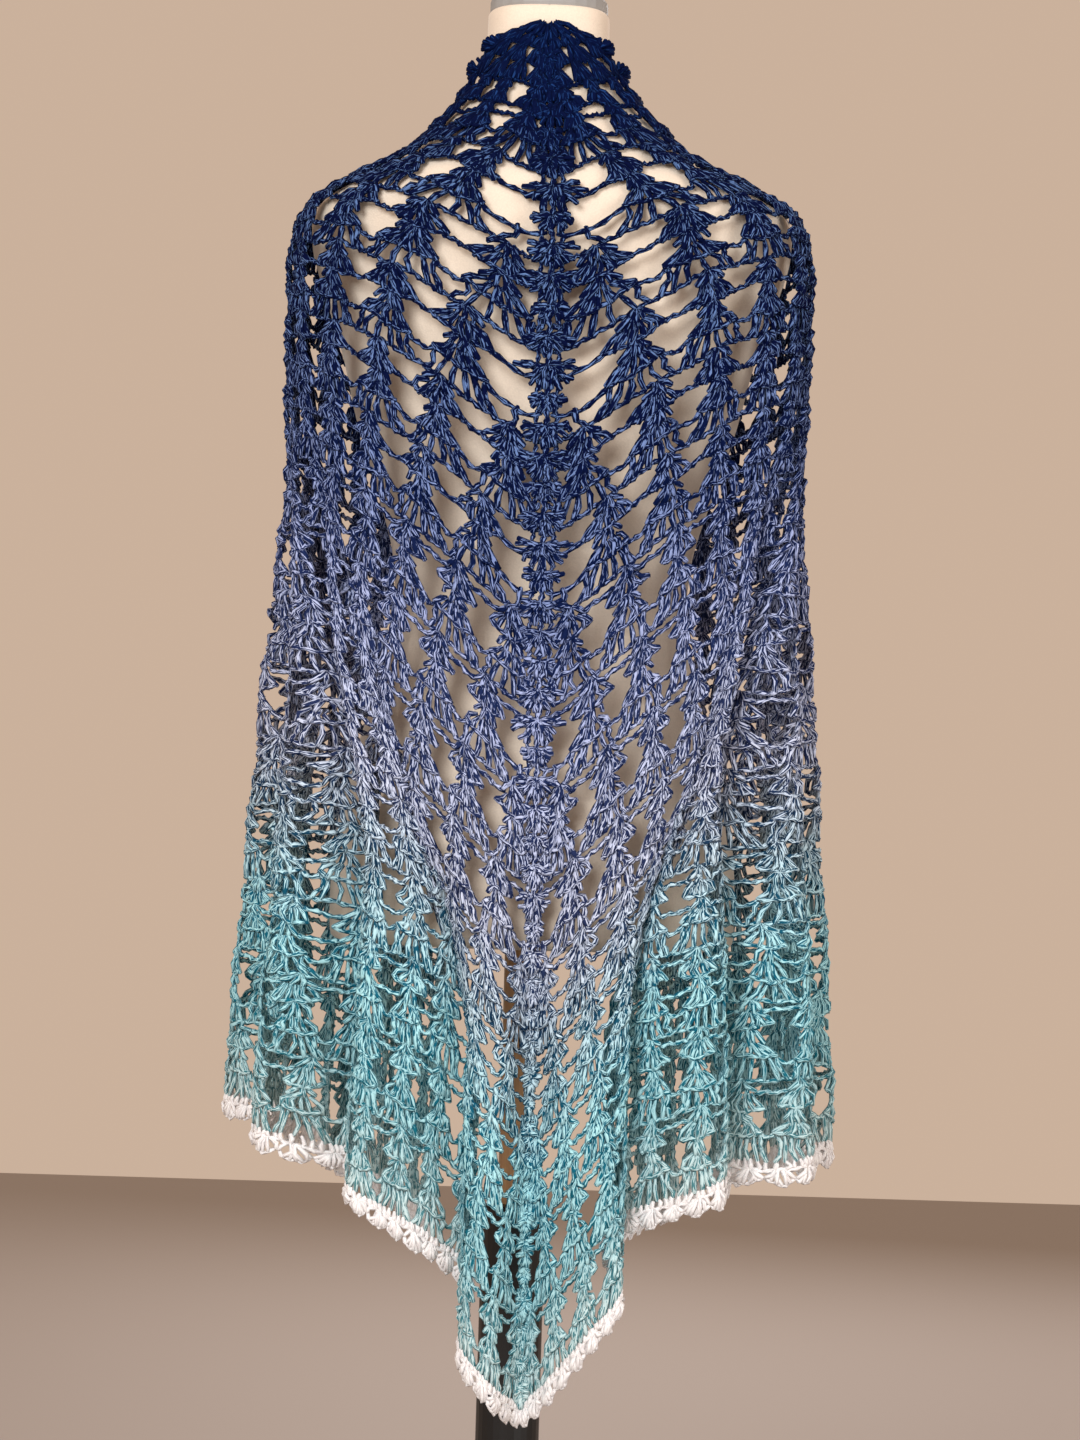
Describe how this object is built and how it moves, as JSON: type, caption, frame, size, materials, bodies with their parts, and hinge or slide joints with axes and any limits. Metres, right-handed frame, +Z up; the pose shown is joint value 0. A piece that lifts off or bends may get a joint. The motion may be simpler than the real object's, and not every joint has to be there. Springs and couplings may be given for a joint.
{
  "type": "lace shawl on dress form",
  "caption": "Triangular crochet lace shawl, wide at the shoulders and pointed at the back, worn on a limbless dress form with a post and a round base.",
  "frame": {"origin": "centre of the stand's round base, on its underside", "axes": "+Z up along the stand's column; the garment's back faces -Y and its open front faces +Y; the wearer's left side, seen on the left from behind, is towards -X"},
  "size_m": [0.517, 0.38, 1.6],
  "materials": {
    "gradient_lace": "soft cotton yarn that runs from navy at the neck through periwinkle to turquoise",
    "white_edging": "soft white cotton yarn",
    "cream_jersey": "smooth stretched jersey cover",
    "grey_cap": "satin moulded cap",
    "turned_wood": "varnished turned wood",
    "black_metal": "black satin powder coat"
  },
  "bodies": {
    "root": {"lace_left": "gradient_lace", "lace_right": "gradient_lace", "spine_column": "gradient_lace", "edge_left": "gradient_lace", "edge_right": "gradient_lace", "hem_left": "white_edging", "hem_right": "white_edging", "form_torso": "cream_jersey", "neck_cap": "grey_cap", "form_post": "turned_wood", "stand_column": "black_metal", "stand_base": "black_metal"}
  },
  "joints": []
}
